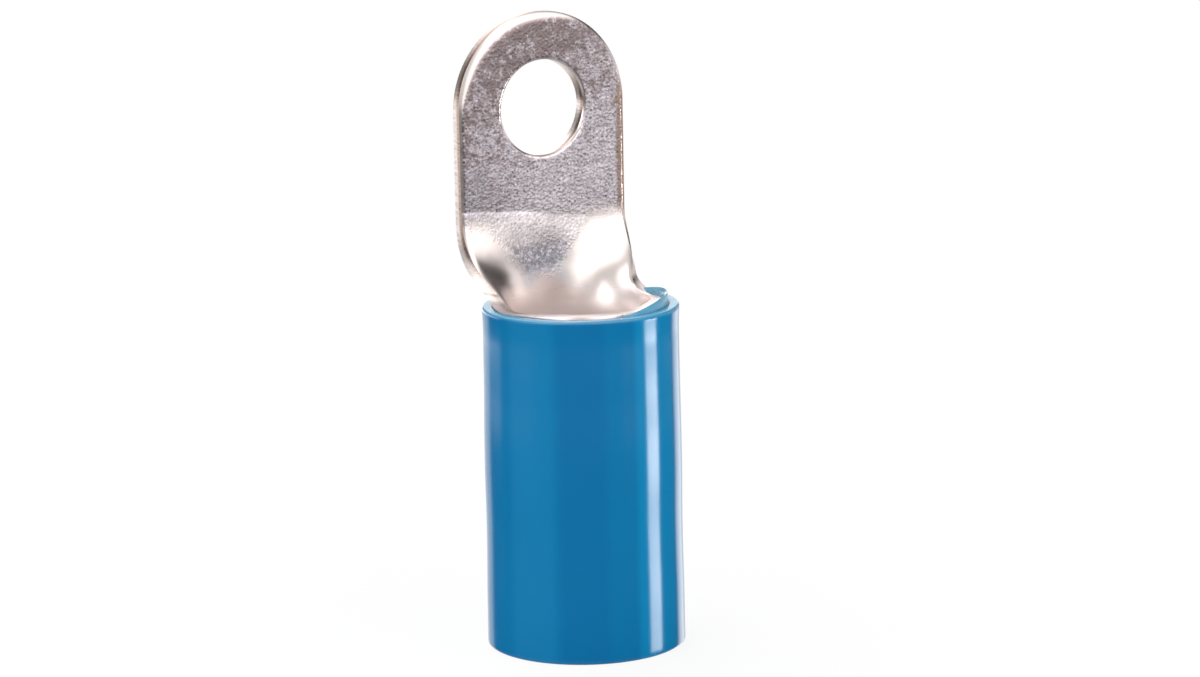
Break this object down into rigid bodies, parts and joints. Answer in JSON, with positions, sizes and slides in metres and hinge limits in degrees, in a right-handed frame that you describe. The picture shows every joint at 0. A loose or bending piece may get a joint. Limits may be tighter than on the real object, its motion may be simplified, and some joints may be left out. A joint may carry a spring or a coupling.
{
  "type": "ring terminal",
  "caption": "Insulated crimp ring terminal: a flat tongue with a stud hole, a rolled neck and a wire barrel inside a plastic sleeve.",
  "frame": {"origin": "on the axis of the wire barrel, at the sleeve's wire end, where the part stands", "axes": "+Z along the barrel's axis towards the tongue's tip, +Y towards the tongue's back face, so the hollow side of the neck faces -Y"},
  "size_m": [0.0114, 0.0114, 0.036],
  "materials": {
    "tinned_copper": "stamped copper sheet with a matt tin plating",
    "blue_plastic": "glossy moulded plastic"
  },
  "bodies": {
    "root": {"terminal": "tinned_copper", "insulating_sleeve": "blue_plastic"}
  },
  "joints": []
}
